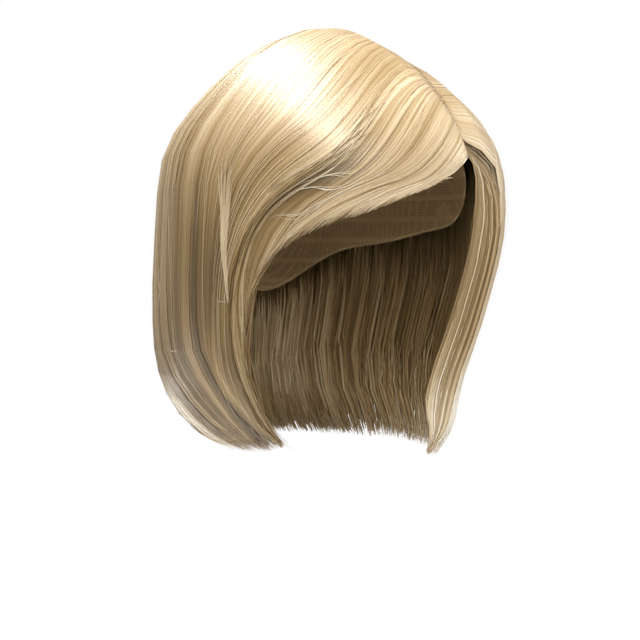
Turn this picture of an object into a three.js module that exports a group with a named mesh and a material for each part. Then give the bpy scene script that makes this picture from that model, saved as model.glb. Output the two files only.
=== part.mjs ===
// A straight chin-length wig with a side parting and swept bangs: hair sections sewn on a stretch cap.
// Millimetres, +Z up, the face side towards -Y and the wearer's left towards +X.
// The origin is the inside of the cap's top, where it bears on the crown of the head.
import * as THREE from 'three';

// Cap
const CAP_WALL = 1.2;
const CAP_COLUMNS = 40;
const CAP_ROWS = 10;

// Hair sections. A share is of a lock's length from its root, unless it says otherwise.
const SEAT_GAP = 1.4; // from the cap to the hair sewn on it, at the corners of the facets
const RIM_BLEND = 0.8; // levels below the cap's rim in which the hair leaves the cap's form
const ROOT_THICKNESS = 6; // a section where it leaves the parting
const RISE_LEVELS = 0.7; // levels from the parting to where the hair has its full height
const INSET_SHARES = [0.15, 0.5]; // where a guide's inset starts and where it is full
const THINNING_SHARE = 0.7; // where a hanging section starts to thin towards its tips
const TIP_THICKNESS = 2.2;
const PART_HALF_WIDTH = 0.035; // in levels, from the parting's line to the first hair
const SECTION_GAP = 0.0035; // share of a section's width left open at each of its sides
const GROOVE_DEPTH = 3.4; // between two locks, at mid length
const GROOVE_SHARE = 0.3; // where a groove is at its full depth
const GROOVE_FADE = { share: 0.8, left: 0.3 }; // where a groove starts to fade, and what is left at the tip
const GROOVE_RAGGED = 0.03; // share that a lock stops short at its two edges
const LOCK_RAGGED = 0.03; // share that the shortest lock stops short of the longest
const LOCK_WANDER = 0.3; // share of a lock's width that the grooves stray from even spacing
const COLUMNS_PER_LOCK = 4;
const HAIR_ROWS = 15;
const ROW_CROWDING = 1.2; // above 1 the rows crowd towards the parting

const HAIR_FINISH = { color: 0xcdb788, roughness: 0.45, metalness: 0 };
const CAP_FINISH = { color: 0x8d7550, roughness: 0.9, metalness: 0 };

// A table written as a line of column names and a line of numbers for each row.
function table(columns, rows) {
  return rows.map((row) => Object.fromEntries(columns.map((column, i) => [column, row[i]])));
}

// The hair's outer form, a row for each level from the top of the crown to the curled-in ends:
// height, then reach from the middle to the wearer's right and left, to the front and to the back.
const LEVEL_COLUMNS = ['z', 'right', 'left', 'front', 'back'];
const HAIR_LEVELS = table(LEVEL_COLUMNS, [
  [14.5, 0, 0, 0, 0],
  [4, 35, 34, 36, 38],
  [-20, 65, 70, 68, 72],
  [-55, 90, 97, 97, 101],
  [-100, 95, 101, 105, 111],
  [-150, 97, 87, 101, 110],
  [-185, 93, 76, 87, 104],
  [-212, 77, 72, 75, 85],
  [-228, 50, 64, 62, 56],
]);

// The cap's outer face at the same levels.
const CAP_LEVELS = table(LEVEL_COLUMNS, [
  [1.2, 0, 0, 0, 0],
  [-6, 34, 34, 36, 38],
  [-29, 60, 60, 64, 70],
  [-62, 75, 75, 88, 93],
  [-102, 78, 78, 94, 97],
  [-142, 73, 73, 88, 86],
]);

// The level of the cap's rim, by bearing from the front in degrees.
const CAP_RIM = table(['bearing', 'level'], [
  [0, 2.6],
  [40, 2.95],
  [90, 3.95],
  [135, 4.2],
  [180, 4.9],
]);

// The parting, from its forehead end to its crown end.
const PARTING = {
  forehead: { bearing: 36, level: 2.75 },
  crown: { bearing: 110, level: 0.75 },
};

// How the hair lies, a row for each guide lock of a section, edge to edge.
// root is the place on the parting, 0 at the forehead and 1 at the crown. Then come the bearing, in degrees
// from the front and positive to the wearer's left, and the level of three points on the way to the tip.
// inset is how far the hanging half lies inside the outer form.
const GUIDE_COLUMNS = [
  'root', 'overBearing', 'overLevel', 'fallBearing', 'fallLevel', 'tipBearing', 'tipLevel', 'inset',
];
const SECTIONS = {
  left_side_hair: {
    locks: 10,
    wall: 15,
    guides: table(GUIDE_COLUMNS, [
      [0, 43, 3.05, 46, 4, 45, 8.05, 2],
      [0.2, 62, 2.6, 66, 4, 64, 8.1, 0],
      [0.45, 86, 2.2, 90, 4, 88, 7.9, 0],
      [0.75, 115, 1.9, 115, 4, 112, 7.7, 0],
      [1, 142, 1.7, 143, 4, 140, 7.6, 0],
    ]),
  },
  back_hair: {
    locks: 10,
    wall: 15,
    guides: table(GUIDE_COLUMNS, [
      [1, 142, 1.7, 143, 4, 140, 7.6, 0],
      [1, 168, 1.7, 167, 4, 167, 7.5, 0],
      [1, 190, 1.7, 192, 4, 194, 7.5, 0],
      [1, 212, 1.7, 217, 4, 222, 7.6, 0],
    ]),
  },
  right_side_hair: {
    locks: 14,
    wall: 15,
    guides: table(GUIDE_COLUMNS, [
      [1, -148, 1.7, -143, 4, -138, 7.6, 0],
      [0.98, -119, 1.9, -119, 4, -112, 7.75, 0],
      [0.94, -92, 2.2, -95, 4, -87, 7.85, 0],
      [0.88, -63, 2.4, -71, 4.05, -67, 7.8, 0],
      [0.68, -30, 2.5, -64.5, 4.5, -59.5, 7.75, 0],
      [0.45, -23.3, 3.04, -59.8, 4.7, -49.5, 7.55, 0],
    ]),
  },
  bangs: {
    locks: 10,
    wall: 7,
    guides: table(GUIDE_COLUMNS, [
      [0.44, -22.5, 3.05, -58.8, 4.7, -48.5, 7.5, 1.5],
      [0.36, -22, 3.22, -55.8, 4.38, -55, 5.4, 4],
      [0.29, -10, 3.26, -38, 3.92, -57, 4.9, 5],
      [0.17, 1.5, 3.28, -23, 3.66, -49, 4.42, 4],
      [0.08, 8, 3.35, -10, 3.62, -33, 4.06, 4],
      [0, 14.5, 3.35, 1.5, 3.56, -15.5, 3.86, 4],
      [-0.09, 21.5, 3.3, 16, 3.4, 8, 3.56, 4],
    ]),
  },
};

const lerp = THREE.MathUtils.lerp;
const smoothstep = THREE.MathUtils.smoothstep;

// A smooth value from four neighbouring rows.
function catmullRom(a, b, c, d, f) {
  const slopeB = (c - a) / 2;
  const slopeC = (d - b) / 2;
  const f2 = f * f;
  const f3 = f2 * f;
  return b * (2 * f3 - 3 * f2 + 1) + c * (3 * f2 - 2 * f3) + slopeB * (f3 - 2 * f2 + f) + slopeC * (f3 - f2);
}

// All columns of a table at a place between its rows. Past the ends the rows go on in a straight line.
function rowAt(rows, place) {
  const last = rows.length - 1;
  const i = THREE.MathUtils.clamp(Math.floor(place), 0, last - 1);
  const row = {};
  for (const column of Object.keys(rows[0])) {
    const b = rows[i][column];
    const c = rows[i + 1][column];
    const a = i > 0 ? rows[i - 1][column] : 2 * b - c;
    const d = i < last - 1 ? rows[i + 2][column] : 2 * c - b;
    row[column] = catmullRom(a, b, c, d, place - i);
  }
  return row;
}

// The rows of a form, with a mirrored row above the crown so that its top is round and not a point.
function domed(levels) {
  const first = levels[1];
  const above = {};
  for (const column of LEVEL_COLUMNS) {
    above[column] = column === 'z' ? first.z : -first[column];
  }
  return [above, ...levels];
}

const HAIR_FORM = domed(HAIR_LEVELS);
const CAP_FORM = domed(CAP_LEVELS);

// The head laid out flat: the crown is at the middle, and the distance from it is the level.
function onMap(bearing, level) {
  const angle = THREE.MathUtils.degToRad(bearing);
  return new THREE.Vector2(level * Math.sin(angle), -level * Math.cos(angle));
}

// The point of a form over a place on the map.
function formPoint(form, place) {
  const level = Math.max(place.length(), 1e-6);
  const row = rowAt(form, level + 1);
  const side = place.x > 0 ? row.left : row.right;
  const depth = place.y > 0 ? row.back : row.front;
  return new THREE.Vector3((side * place.x) / level, (depth * place.y) / level, row.z);
}

// The outward normal there, from the form's slopes along the map's two axes.
function formNormal(form, place) {
  const step = 0.01;
  const alongX = formPoint(form, new THREE.Vector2(place.x + step, place.y));
  alongX.sub(formPoint(form, new THREE.Vector2(place.x - step, place.y)));
  const alongY = formPoint(form, new THREE.Vector2(place.x, place.y + step));
  alongY.sub(formPoint(form, new THREE.Vector2(place.x, place.y - step)));
  return alongX.cross(alongY).normalize();
}

function raised(form, place, height) {
  return formPoint(form, place).addScaledVector(formNormal(form, place), height);
}

// The level of the cap's rim at a bearing.
function rimLevel(bearing) {
  const turned = Math.abs(THREE.MathUtils.euclideanModulo(bearing + 180, 360) - 180);
  const next = Math.max(1, CAP_RIM.findIndex((row) => row.bearing >= turned));
  const from = CAP_RIM[next - 1];
  const to = CAP_RIM[next];
  return lerp(from.level, to.level, smoothstep(turned, from.bearing, to.bearing));
}

function bearingOf(place) {
  return THREE.MathUtils.radToDeg(Math.atan2(place.x, -place.y));
}

function quad(triangles, a, b, c, d) {
  triangles.push([a, b, c], [a, c, d]);
}

// A closed mesh from its vertices and triangles.
function closedMesh(name, vertices, triangles, finish) {
  const positions = vertices.flatMap((vertex) => vertex.toArray());
  const geometry = new THREE.BufferGeometry();
  geometry.setAttribute('position', new THREE.Float32BufferAttribute(positions, 3));
  geometry.setIndex(triangles.flat());
  geometry.computeVertexNormals();
  const mesh = new THREE.Mesh(geometry, new THREE.MeshStandardMaterial(finish));
  mesh.name = name;
  return mesh;
}

// One skin of the cap: its top, then rings of vertices down to the rim.
function capSkin(vertices, height) {
  const top = vertices.push(raised(CAP_FORM, new THREE.Vector2(0, 0), height)) - 1;
  const rings = [];
  for (let row = 1; row <= CAP_ROWS; row += 1) {
    const ring = [];
    for (let column = 0; column < CAP_COLUMNS; column += 1) {
      const bearing = (360 * column) / CAP_COLUMNS;
      const place = onMap(bearing, (rimLevel(bearing) * row) / CAP_ROWS);
      ring.push(vertices.push(raised(CAP_FORM, place, height)) - 1);
    }
    rings.push(ring);
  }
  return { top, rings };
}

// The cap: an outer and an inner dome that meet at the rim.
function makeCap() {
  const vertices = [];
  const triangles = [];
  const outer = capSkin(vertices, 0);
  const inner = capSkin(vertices, -CAP_WALL);
  const rim = CAP_ROWS - 1;
  for (let column = 0; column < CAP_COLUMNS; column += 1) {
    const next = (column + 1) % CAP_COLUMNS;
    triangles.push([outer.top, outer.rings[0][column], outer.rings[0][next]]);
    triangles.push([inner.top, inner.rings[0][next], inner.rings[0][column]]);
    for (let row = 0; row < rim; row += 1) {
      const [above, below] = [outer.rings[row], outer.rings[row + 1]];
      quad(triangles, above[column], below[column], below[next], above[next]);
      const [aboveIn, belowIn] = [inner.rings[row], inner.rings[row + 1]];
      quad(triangles, aboveIn[column], aboveIn[next], belowIn[next], belowIn[column]);
    }
    const [edge, edgeIn] = [outer.rings[rim], inner.rings[rim]];
    quad(triangles, edge[column], edgeIn[column], edgeIn[next], edge[next]);
  }
  return closedMesh('cap', vertices, triangles, CAP_FINISH);
}

// The way of one lock over the map, from the parting to its tip.
function lockPath(guide) {
  const forehead = onMap(PARTING.forehead.bearing, PARTING.forehead.level);
  const crown = onMap(PARTING.crown.bearing, PARTING.crown.level);
  const root = forehead.lerp(crown, guide.root);
  const over = onMap(guide.overBearing, guide.overLevel);
  root.addScaledVector(over.clone().sub(root).normalize(), PART_HALF_WIDTH);
  const fall = onMap(guide.fallBearing, guide.fallLevel);
  const tip = onMap(guide.tipBearing, guide.tipLevel);
  return new THREE.CatmullRomCurve3([root, over, fall, tip].map((p) => new THREE.Vector3(p.x, p.y, 0)));
}

// The underside of the hair: on the cap, and below its rim a free wall.
function underside(place, inset, thickness) {
  const level = place.length();
  const rim = rimLevel(bearingOf(place));
  const seat = raised(CAP_FORM, place, SEAT_GAP);
  const room = formPoint(HAIR_FORM, place).distanceTo(seat);
  const hanging = smoothstep(level, rim, rim + RIM_BLEND);
  const depth = inset + thickness;
  const free = raised(HAIR_FORM, place, -lerp(Math.min(depth, room), depth, hanging));
  return seat.lerp(free, hanging);
}

// How far a place across a section is from the nearest groove, 0 in it and 1 on the middle of a lock.
function lockCrest(place) {
  const inLock = place % 1;
  return Math.sqrt(Math.max(0, 1 - (2 * inLock - 1) ** 2));
}

// A number from 0 to 1 that differs from lock to lock.
function lockChance(lock) {
  return 0.5 + 0.5 * Math.sin(2.4 * lock + 1);
}

// How far, in locks, the hair at a place strays from even spacing. It is nothing at a section's two sides.
function lockWander(place, locks) {
  return LOCK_WANDER * Math.sin(1.9 * place) * Math.sin((Math.PI * place) / locks);
}

// The outer and the under point of a section. place counts locks across it, and along goes from 0 to 1.
function sectionPoints(section, place, along) {
  const strayed = (place + lockWander(place, section.locks)) / section.locks;
  const spread = lerp(SECTION_GAP, 1 - SECTION_GAP, strayed);
  const guide = rowAt(section.guides, spread * (section.guides.length - 1));
  const crest = lockCrest(place);
  const short = LOCK_RAGGED * lockChance(Math.floor(place));
  const path = lockPath(guide);
  const onCurve = path.getPointAt(along * (1 - lerp(GROOVE_RAGGED, short, crest)));
  const spot = new THREE.Vector2(onCurve.x, onCurve.y);
  const inset = guide.inset * smoothstep(along, ...INSET_SHARES);
  const thickness = lerp(section.wall, TIP_THICKNESS, smoothstep(along, THINNING_SHARE, 1));
  const under = underside(spot, inset, thickness);
  const fade = lerp(1, GROOVE_FADE.left, smoothstep(along, GROOVE_FADE.share, 1));
  const groove = GROOVE_DEPTH * (1 - crest) * smoothstep(along, 0, GROOVE_SHARE) * fade;
  const top = raised(HAIR_FORM, spot, -inset - groove);
  const rootShare = Math.min(1, ROOT_THICKNESS / top.distanceTo(under));
  const rise = lerp(rootShare, 1, smoothstep(along * path.getLength(), 0, RISE_LEVELS));
  return { outer: under.clone().lerp(top, rise), under };
}

// A section of hair: a ribbed outer face, a smoother under face with half as many columns, and four edges.
function makeSection(name, section) {
  const columns = section.locks * COLUMNS_PER_LOCK;
  const vertices = [];
  const outer = [];
  const under = [];
  for (let row = 0; row <= HAIR_ROWS; row += 1) {
    const along = (row / HAIR_ROWS) ** ROW_CROWDING;
    outer.push([]);
    under.push([]);
    for (let column = 0; column <= columns; column += 1) {
      const points = sectionPoints(section, column / COLUMNS_PER_LOCK, along);
      outer[row].push(vertices.push(points.outer) - 1);
      if (column % 2 === 0) {
        under[row].push(vertices.push(points.under) - 1);
      }
    }
  }
  const triangles = [];
  const lastUnder = columns / 2;
  for (let row = 0; row < HAIR_ROWS; row += 1) {
    const [o, u] = [outer[row], under[row]];
    const [oNext, uNext] = [outer[row + 1], under[row + 1]];
    for (let column = 0; column < columns; column += 1) {
      quad(triangles, o[column], oNext[column], oNext[column + 1], o[column + 1]);
    }
    for (let column = 0; column < lastUnder; column += 1) {
      quad(triangles, u[column], u[column + 1], uNext[column + 1], uNext[column]);
    }
    quad(triangles, o[0], u[0], uNext[0], oNext[0]);
    quad(triangles, o[columns], oNext[columns], uNext[lastUnder], u[lastUnder]);
  }
  for (let column = 0; column < lastUnder; column += 1) {
    const [rootA, rootB, rootC] = outer[0].slice(2 * column);
    const [tipA, tipB, tipC] = outer[HAIR_ROWS].slice(2 * column);
    const [rootIn, rootInNext] = under[0].slice(column);
    const [tipIn, tipInNext] = under[HAIR_ROWS].slice(column);
    triangles.push([rootB, rootIn, rootA], [rootB, rootInNext, rootIn], [rootC, rootInNext, rootB]);
    triangles.push([tipA, tipIn, tipB], [tipB, tipIn, tipInNext], [tipB, tipInNext, tipC]);
  }
  return closedMesh(name, vertices, triangles, HAIR_FINISH);
}

const wig = new THREE.Group();
wig.name = 'wig';
wig.add(makeCap());
for (const [name, section] of Object.entries(SECTIONS)) {
  wig.add(makeSection(name, section));
}

export default wig;
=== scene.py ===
import math

import bpy
import numpy as np
from mathutils import Matrix


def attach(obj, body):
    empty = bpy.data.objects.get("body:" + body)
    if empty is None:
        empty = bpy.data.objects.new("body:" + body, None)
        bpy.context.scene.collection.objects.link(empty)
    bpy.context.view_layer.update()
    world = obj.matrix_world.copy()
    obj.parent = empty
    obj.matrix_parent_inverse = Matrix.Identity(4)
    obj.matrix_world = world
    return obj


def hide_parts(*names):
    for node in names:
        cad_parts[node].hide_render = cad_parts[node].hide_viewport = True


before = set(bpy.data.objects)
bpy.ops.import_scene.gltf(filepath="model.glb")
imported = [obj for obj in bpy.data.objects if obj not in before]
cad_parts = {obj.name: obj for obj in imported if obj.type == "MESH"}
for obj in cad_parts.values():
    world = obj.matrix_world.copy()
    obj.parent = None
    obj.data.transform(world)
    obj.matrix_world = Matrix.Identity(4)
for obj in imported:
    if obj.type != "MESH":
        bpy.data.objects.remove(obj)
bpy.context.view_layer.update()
print("frame loaded:", ", ".join(sorted(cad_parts)))

mm = 0.001
tiny = 1e-6  # stands in for zero where something is divided by it


# Small helpers for numbers and arrays

def mix(a, b, f):
    return a + (b - a) * f


def smooth(x, low, high):
    f = np.clip((x - low) / (high - low), 0, 1)
    return f * f * (3 - 2 * f)


def lengthOf(vectors):
    return np.linalg.norm(vectors, axis=-1, keepdims=True)


def unit(vectors):
    return vectors / np.maximum(lengthOf(vectors), 1e-9)


def colour(hexCode):
    # a screen colour as the linear colour that a shader takes
    channels = []
    for i in (0, 2, 4):
        c = int(hexCode[i:i + 2], 16) / 255
        channels.append(c / 12.92 if c <= 0.04045 else ((c + 0.055) / 1.055) ** 2.4)
    return (*channels, 1)


# The head laid out flat: the crown is in the middle, and the distance from it is the level.
# A form has a row for each level: height, then reach to the wearer's right, left, front and back, in mm.
headForms = {
    "hair": [
        (14.5, 0, 0, 0, 0),
        (4, 35, 34, 36, 38),
        (-20, 65, 70, 68, 72),
        (-55, 90, 97, 97, 101),
        (-100, 95, 101, 105, 111),
        (-150, 97, 87, 101, 110),
        (-185, 93, 76, 87, 104),
        (-212, 77, 72, 75, 85),
        (-228, 50, 64, 62, 56),
    ],
    "cap": [
        (1.2, 0, 0, 0, 0),
        (-6, 34, 34, 36, 38),
        (-29, 60, 60, 64, 70),
        (-62, 75, 75, 88, 93),
        (-102, 78, 78, 94, 97),
        (-142, 73, 73, 88, 86),
    ],
    "rim": [(0, 2.6), (40, 2.95), (90, 3.95), (135, 4.2), (180, 4.9)],  # bearing from the front, level
    "partingFront": (36, 2.75),  # bearing to the wearer's left, level
    "partingCrown": (110, 0.75),
}


def rowAt(rows, place):
    # a table's columns at places between its rows, on a smooth curve that goes on straight past the ends
    last = len(rows) - 1
    i = np.clip(np.floor(place).astype(int), 0, last - 1)
    b = rows[i]
    c = rows[i + 1]
    a = np.where((i > 0)[..., None], rows[np.maximum(i - 1, 0)], 2 * b - c)
    d = np.where((i < last - 1)[..., None], rows[np.minimum(i + 2, last)], 2 * c - b)
    f = (place - i)[..., None]
    f2 = f * f
    f3 = f2 * f
    keep = b * (2 * f3 - 3 * f2 + 1) + c * (3 * f2 - 2 * f3)
    return keep + (c - a) / 2 * (f3 - 2 * f2 + f) + (d - b) / 2 * (f3 - f2)


def domed(levels):
    # a mirrored row above the crown makes the top round
    rows = np.array(levels, float) * mm
    above = rows[1] * np.array([1, -1, -1, -1, -1])
    return np.vstack([above, rows])


hairForm = domed(headForms["hair"])
capForm = domed(headForms["cap"])


def onMap(bearing, level):
    angle = np.radians(bearing)
    return np.stack([level * np.sin(angle), -level * np.cos(angle)], -1)


def formPoint(form, spot):
    x = spot[..., 0]
    y = spot[..., 1]
    level = np.maximum(np.hypot(x, y), tiny)
    row = rowAt(form, level + 1)
    side = np.where(x > 0, row[..., 2], row[..., 1])
    depth = np.where(y > 0, row[..., 4], row[..., 3])
    return np.stack([side * x / level, depth * y / level, row[..., 0]], -1)


def formNormal(form, spot):
    step = 0.01
    right = np.array([step, 0])
    back = np.array([0, step])
    alongX = formPoint(form, spot + right) - formPoint(form, spot - right)
    alongY = formPoint(form, spot + back) - formPoint(form, spot - back)
    return unit(np.cross(alongX, alongY))


def rimLevel(spot):
    bearing = np.abs(np.degrees(np.arctan2(spot[..., 0], -spot[..., 1])))
    level = np.full(bearing.shape, headForms["rim"][0][1], float)
    for (fromBearing, fromLevel), (toBearing, toLevel) in zip(headForms["rim"], headForms["rim"][1:]):
        level = level + (toLevel - fromLevel) * smooth(bearing, fromBearing, toBearing)
    return level


# How the hair lies. A guide lock has its root's place on the parting, 0 at the forehead and 1 at the crown,
# then bearing and level of three points on its way, and how far its lower half lies inside the form, in mm.
hairLay = {
    "seatGap": 1.4 * mm,
    "rimBlend": 0.8,  # levels below the cap's rim in which the hair leaves the cap's form
    "rootThickness": 6 * mm,
    "tipThickness": 2.2 * mm,
    "riseLevels": 0.7,  # levels from the parting to where the hair has its full height
    "insetShares": (0.15, 0.5),  # shares of the length between which the inset comes in
    "thinningShare": 0.7,  # and the share from which the wall thins to the tip
    "margin": 0.15,  # how far past a section's sides its strands may stray, as a share of its width
}

leftSide = {
    "wall": 15 * mm,
    "guides": [
        (0, 43, 3.05, 46, 4, 45, 8.05, 2),
        (0.2, 62, 2.6, 66, 4, 64, 8.1, 0),
        (0.45, 86, 2.2, 90, 4, 88, 7.9, 0),
        (0.75, 115, 1.9, 115, 4, 112, 7.7, 0),
        (1, 142, 1.7, 143, 4, 140, 7.6, 0),
    ],
}

backSide = {
    "wall": 15 * mm,
    "guides": [
        (1, 142, 1.7, 143, 4, 140, 7.6, 0),
        (1, 168, 1.7, 167, 4, 167, 7.5, 0),
        (1, 190, 1.7, 192, 4, 194, 7.5, 0),
        (1, 212, 1.7, 217, 4, 222, 7.6, 0),
    ],
}

rightSide = {
    "wall": 15 * mm,
    "guides": [
        (1, -148, 1.7, -143, 4, -138, 7.6, 0),
        (0.98, -119, 1.9, -119, 4, -112, 7.75, 0),
        (0.94, -92, 2.2, -95, 4, -87, 7.85, 0),
        (0.88, -63, 2.4, -71, 4.05, -67, 7.8, 0),
        (0.68, -30, 2.5, -64.5, 4.5, -59.5, 7.75, 0),
        (0.45, -23.3, 3.04, -59.8, 4.7, -49.5, 7.55, 0),
    ],
}

bangs = {
    "wall": 7 * mm,
    "guides": [
        (0.44, -22.5, 3.05, -58.8, 4.7, -48.5, 7.5, 1.5),
        (0.36, -22, 3.22, -55.8, 4.38, -55, 5.4, 4),
        (0.29, -10, 3.26, -38, 3.92, -57, 4.9, 5),
        (0.17, 1.5, 3.28, -23, 3.66, -49, 4.42, 4),
        (0.08, 8, 3.35, -10, 3.62, -33, 4.06, 4),
        (0, 14.5, 3.35, 1.5, 3.56, -15.5, 3.86, 4),
        (-0.09, 21.5, 3.3, 16, 3.4, 8, 3.56, 4),
    ],
}


def lockCurve(points, steps):
    # a curve through four points of the map, with the same spacing rule for every lock
    before = 2 * points[0] - points[1]
    after = 2 * points[3] - points[2]
    chain = [before, *points, after]
    pieces = []
    for i in range(3):
        x0, x1, x2, x3 = chain[i:i + 4]
        d0 = np.sqrt(lengthOf(x1 - x0))
        d1 = np.sqrt(lengthOf(x2 - x1))
        d2 = np.sqrt(lengthOf(x3 - x2))
        t1 = ((x1 - x0) / d0 - (x2 - x0) / (d0 + d1) + (x2 - x1) / d1) * d1
        t2 = ((x2 - x1) / d1 - (x3 - x1) / (d1 + d2) + (x3 - x2) / d2) * d1
        for f in np.arange(steps) / steps:
            cubic = (-3 * x1 + 3 * x2 - 2 * t1 - t2) * f * f + (2 * x1 - 2 * x2 + t1 + t2) * f ** 3
            pieces.append(x1 + t1 * f + cubic)
    pieces.append(points[3])
    return np.stack(pieces, 1)


def layGuides(section):
    # the section's locks on the map: columns across it and rows of equal length along it
    columns = 181
    rows = 161
    curveSteps = 60
    margin = hairLay["margin"]
    table = np.array(section["guides"], float)
    spreads = np.linspace(-margin, 1 + margin, columns)
    guide = rowAt(table, spreads * (len(table) - 1))
    front = onMap(*headForms["partingFront"])
    crown = onMap(*headForms["partingCrown"])
    over = onMap(guide[:, 1], guide[:, 2])
    root = mix(front, crown, guide[:, :1])
    fall = onMap(guide[:, 3], guide[:, 4])
    tip = onMap(guide[:, 5], guide[:, 6])
    fine = lockCurve([root, over, fall, tip], curveSteps)
    lengths = np.cumsum(np.linalg.norm(np.diff(fine, axis=1), axis=-1), axis=1)
    spots = np.zeros((columns, rows, 2))
    for column in range(columns):
        share = np.concatenate([[0], lengths[column] / lengths[column, -1]])
        for axis in (0, 1):
            spots[column, :, axis] = np.interp(np.linspace(0, 1, rows), share, fine[column, :, axis])
    section["spots"] = spots
    section["lengths"] = lengths[:, -1]
    section["insets"] = np.maximum(guide[:, 7], 0) * mm


def gridPlace(values, size):
    low = np.clip(np.floor(values).astype(int), 0, size - 2)
    return low, np.clip(values - low, 0, 1)


def hairFaces(section, spread, along):
    # the outer and the under face of a section at places across and along it, and the way out of the head
    spots = section["spots"]
    margin = hairLay["margin"]
    column, f = gridPlace((spread + margin) / (1 + 2 * margin) * (len(spots) - 1), len(spots))
    row, g = gridPlace(np.clip(along, 0, 1) * (spots.shape[1] - 1), spots.shape[1])
    upper = mix(spots[column, row], spots[column + 1, row], f[..., None])
    lower = mix(spots[column, row + 1], spots[column + 1, row + 1], f[..., None])
    spot = mix(upper, lower, g[..., None])
    inset = mix(section["insets"][column], section["insets"][column + 1], f)
    inset = (inset * smooth(along, *hairLay["insetShares"]))[..., None]
    thinning = smooth(along, hairLay["thinningShare"], 1)
    drop = inset + mix(section["wall"], hairLay["tipThickness"], thinning)[..., None]
    crest = formPoint(hairForm, spot)
    outward = formNormal(hairForm, spot)
    seat = formPoint(capForm, spot) + formNormal(capForm, spot) * hairLay["seatGap"]
    room = lengthOf(crest - seat)
    rim = rimLevel(spot)
    level = np.hypot(spot[..., 0], spot[..., 1])
    hanging = smooth(level, rim, rim + hairLay["rimBlend"])[..., None]
    free = crest - outward * mix(np.minimum(drop, room), drop, hanging)
    under = mix(seat, free, hanging)
    top = crest - outward * inset
    height = np.maximum(lengthOf(top - under), tiny)
    length = mix(section["lengths"][column], section["lengths"][column + 1], f)
    rise = smooth(along * length, 0, hairLay["riseLevels"])[..., None]
    outer = mix(under, top, mix(np.minimum(1, hairLay["rootThickness"] / height), 1, rise))
    return outer, under, outward


hairSections = {
    "left_side_hair": leftSide, "back_hair": backSide, "right_side_hair": rightSide, "bangs": bangs,
}
for section in hairSections.values():
    layGuides(section)
print("guide locks laid")


# Materials

def newMaterial(name):
    material = bpy.data.materials.new(name)
    material.use_nodes = True
    return material, material.node_tree, material.node_tree.nodes["Principled BSDF"]


def setInputs(tree, node, inputs):
    # each input takes a fixed value or a link from another node
    for socket, value in inputs.items():
        if isinstance(value, bpy.types.NodeSocket):
            tree.links.new(value, node.inputs[socket])
        else:
            node.inputs[socket].default_value = value
    return node


def addNode(tree, kind, inputs):
    return setInputs(tree, tree.nodes.new("ShaderNode" + kind), inputs)


def addMath(tree, operation, a, b):
    node = addNode(tree, "Math", {0: a, 1: b})
    node.operation = operation
    return node.outputs[0]


def addRange(tree, value, fromRange, toRange=(0, 1), way="LINEAR"):
    node = addNode(tree, "MapRange", {"Value": value})
    node.interpolation_type = way
    ends = zip(("From Min", "From Max", "To Min", "To Max"), (*fromRange, *toRange))
    return setInputs(tree, node, dict(ends)).outputs["Result"]


def addBlend(tree, share, a, b):
    node = tree.nodes.new("ShaderNodeMix")
    node.data_type = "RGBA"
    return setInputs(tree, node, {"Factor": share, "A": a, "B": b}).outputs["Result"]


def addOwnMap(tree):
    # a piece's own map and its two directions
    own = tree.nodes.new("ShaderNodeUVMap")
    own.uv_map = "OFBake"
    parts = addNode(tree, "SeparateXYZ", {"Vector": own.outputs["UV"]})
    return {"map": own.outputs["UV"], "across": parts.outputs["X"], "along": parts.outputs["Y"]}


fibreTones = {
    # place on the ramp from lowlight to highlight, and the fibre's own colour there
    "ramp": [
        (0.0, "4c3b20"), (0.2, "6f5834"), (0.38, "917953"), (0.52, "a89372"),
        (0.68, "c1af90"), (0.82, "d3c7b0"), (1.0, "ebe3d5"),
    ],
    "rootColour": "94764a",
    "rootShare": 0.2,  # length from the root over which the root colour fades out
    "rootStrength": 0.45,
}


def makeFibreTones():
    # shared by the strands and the locks under them: a fibre's colour from its tone and the place along it
    group = bpy.data.node_groups.new("fibreTones", "ShaderNodeTree")
    group.interface.new_socket("Tone", in_out="INPUT", socket_type="NodeSocketFloat")
    group.interface.new_socket("Along", in_out="INPUT", socket_type="NodeSocketFloat")
    group.interface.new_socket("Color", in_out="OUTPUT", socket_type="NodeSocketColor")
    source = group.nodes.new("NodeGroupInput").outputs
    ramp = addNode(group, "ValToRGB", {"Fac": source["Tone"]})
    stops = ramp.color_ramp.elements
    while len(stops) < len(fibreTones["ramp"]):
        stops.new(0.5)
    for stop, (place, hexCode) in zip(stops, fibreTones["ramp"]):
        stop.position = place
        stop.color = colour(hexCode)
    fadeOut = (fibreTones["rootStrength"], 0)
    fade = addRange(group, source["Along"], (0, fibreTones["rootShare"]), fadeOut, "SMOOTHSTEP")
    rooted = addBlend(group, fade, ramp.outputs["Color"], colour(fibreTones["rootColour"]))
    setInputs(group, group.nodes.new("NodeGroupOutput"), {"Color": rooted})
    return group


fibreGroup = makeFibreTones()

strandFinish = {
    "roughness": 0.36,
    "specular": 0.7,
    "gloss": "fff4e4",  # colour of the reflections
}


def fibreColour(tree, tone, along):
    node = tree.nodes.new("ShaderNodeGroup")
    node.node_tree = fibreGroup
    return setInputs(tree, node, {"Tone": tone, "Along": along}).outputs["Color"]


def makeStrandMaterial():
    # the strands' own map holds the tone across and the place along it upwards
    material, tree, shader = newMaterial("glossyStrands")
    own = addOwnMap(tree)
    setInputs(tree, shader, {
        "Base Color": fibreColour(tree, own["across"], own["along"]),
        "Roughness": strandFinish["roughness"],
        "Specular IOR Level": strandFinish["specular"],
        "Specular Tint": colour(strandFinish["gloss"]),
    })
    return material


lockFinish = {
    "roughness": 0.5,
    "stripes": (260, 2.5, 1),  # scale of the drawn fibres across a lock and along it
    "stripeDetail": 3,
    "stripeRange": (0.3, 0.7),  # values of the drawn fibres, and the tones they stand for
    # these tones lie below the coats', partly as darker hair under the coat and partly as painted shade in
    # the gaps between strands
    "toneRange": (0.22, 0.48),
    "bump": 0.35,
    "bumpDistance": 0.4 * mm,
}


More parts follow.
